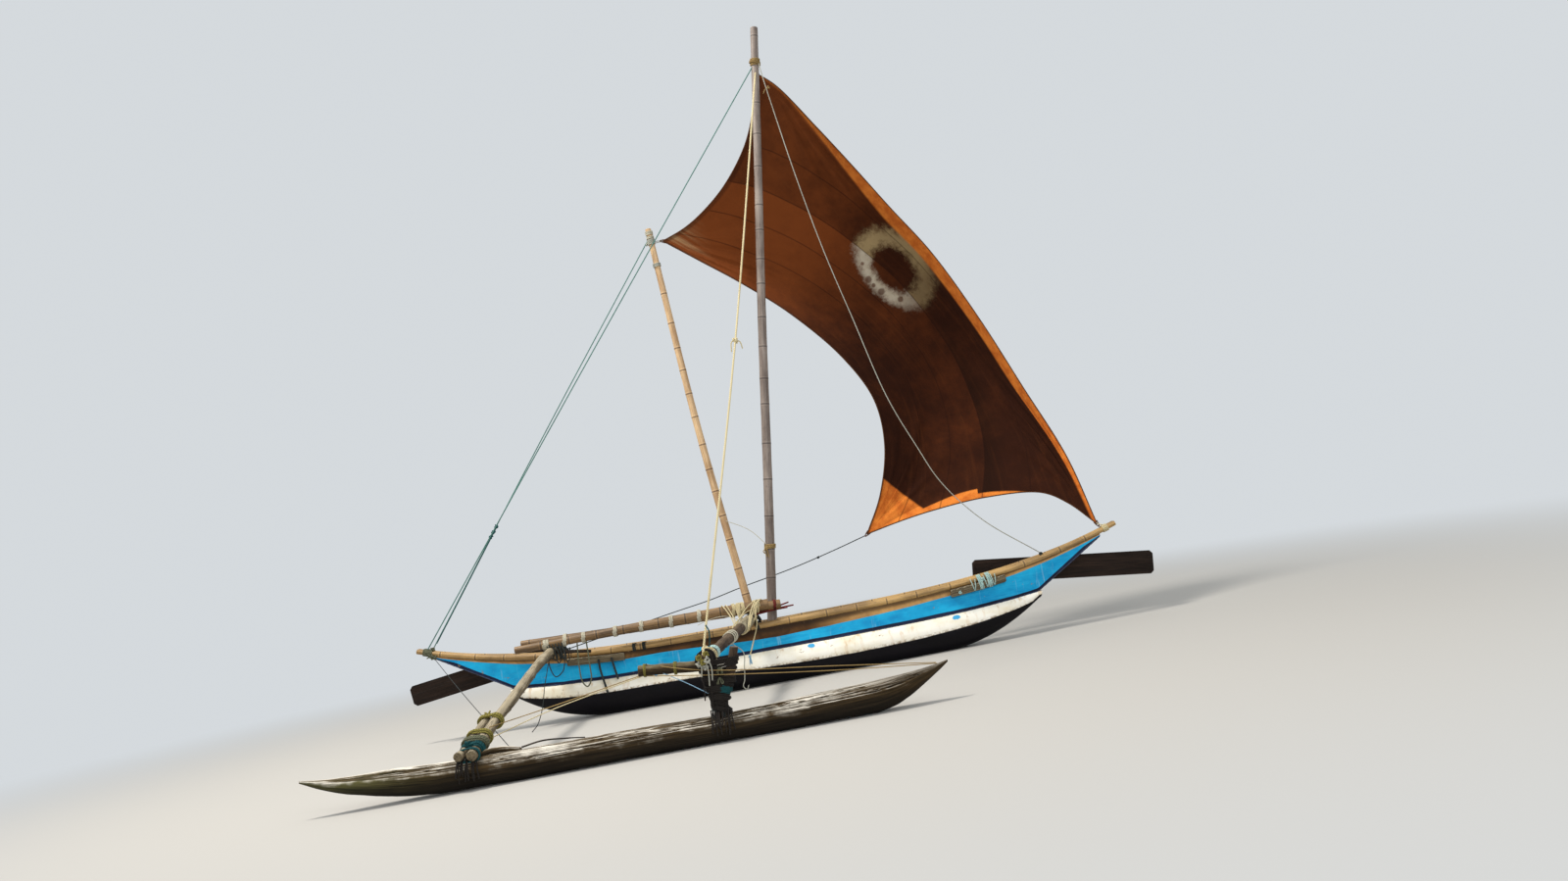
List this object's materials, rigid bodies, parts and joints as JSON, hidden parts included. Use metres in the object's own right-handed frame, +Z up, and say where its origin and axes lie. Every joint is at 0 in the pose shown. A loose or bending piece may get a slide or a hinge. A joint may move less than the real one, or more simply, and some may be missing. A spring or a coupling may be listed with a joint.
{
  "type": "double-ended sailing outrigger canoe",
  "caption": "Narrow plank-sided dugout canoe with a lashed outrigger float, raked bamboo mast, sprit, wide rust-brown sail and two steering boards.",
  "frame": {"origin": "on the flat of the hull's keel amidships, on the floor that the hull and the float stand on", "axes": "+X along the hull to the bow, +Y to port, away from the float, +Z up"},
  "size_m": [8.5813, 4.951, 7.4868],
  "materials": {
    "hull_paint": "worn gloss paint: sky blue over cream white over near-black navy, with a navy line at the seam",
    "dark_timber": "wet dark weathered timber with long cracks",
    "grey_timber": "sun-bleached bare timber",
    "bamboo": "warm tan bamboo with darker nodes",
    "pale_bamboo": "pale yellow-tan pole, satin",
    "grey_bamboo": "weathered grey-brown bamboo",
    "sailcloth": "rust-brown cotton sailcloth, bleached in one ring",
    "sacking": "grey-brown woven sacking",
    "pale_rope": "cream laid rope",
    "green_rope": "dark green-grey laid rope",
    "netting": "old teal fishing net"
  },
  "bodies": {
    "hull": {"hull_base_mid_stern": "hull_paint", "hull_base_mid_bow": "hull_paint", "hull_base_bow": "hull_paint", "hull_base_stern": "hull_paint", "strake_port_stern_tip": "hull_paint", "strake_port_stern": "hull_paint", "strake_port_mid": "hull_paint", "strake_port_bow": "hull_paint", "strake_port_bow_tip": "hull_paint", "strake_starboard_stern_tip": "hull_paint", "strake_starboard_stern": "hull_paint", "strake_starboard_mid": "hull_paint", "strake_starboard_bow": "hull_paint", "strake_starboard_bow_tip": "hull_paint", "rail_port": "pale_bamboo", "rail_starboard": "pale_bamboo", "stem_bow": "hull_paint", "stem_stern": "hull_paint", "thwart_bow": "grey_timber", "thwart_stern": "grey_timber", "oar_block_bow": "grey_timber", "oar_block_stern": "grey_timber", "mast_step": "dark_timber", "float": "dark_timber", "boom_stern": "grey_timber", "boom_bow": "dark_timber", "boom_splint": "grey_timber", "boom_wrap": "sacking", "fork": "dark_timber", "fork_bar": "dark_timber", "fork_lashing": "netting", "spar_front": "bamboo", "spar_back": "bamboo", "tip_lashing_bow": "pale_rope", "tip_lashing_stern": "green_rope", "boom_lashing_inner": "pale_rope", "boom_lashing_outer": "green_rope", "thole_bow": "dark_timber", "thole_stern": "dark_timber", "backstay": "green_rope", "sprit_guy": "green_rope", "shroud": "pale_rope"},
    "mast": {"mast": "grey_bamboo", "masthead_lashing": "pale_rope", "sail": "sailcloth"},
    "sprit": {"sprit": "bamboo"},
    "bow_board": {"steering_board_bow": "dark_timber"},
    "stern_board": {"steering_board_stern": "dark_timber"}
  },
  "joints": [
    {"name": "mast_rake", "type": "hinge", "parent": "hull", "child": "mast", "pos_m": [-0.105, 0, 0.155], "axis": [0, 1, 0], "range_deg": [-8, 4], "deforming": ["sail", "backstay", "shroud"]},
    {"name": "sprit_lean", "type": "hinge", "parent": "hull", "child": "sprit", "pos_m": [-0.248, 0.03, 0.8405], "axis": [0, 1, 0], "range_deg": [-9.3, 4.7], "deforming": ["sprit_guy"]},
    {"name": "bow_board_dip", "type": "hinge", "parent": "hull", "child": "bow_board", "pos_m": [2.75, 0.204, 0.6866], "axis": [0, 1, 0], "range_deg": [-5, 65]},
    {"name": "stern_board_dip", "type": "hinge", "parent": "hull", "child": "stern_board", "pos_m": [-2.75, 0.204, 0.6866], "axis": [0, -1, 0], "range_deg": [-5, 65]}
  ],
  "couplings": [
    {"joint": "sprit_lean", "follows": "mast_rake", "ratio": 1.15}
  ]
}
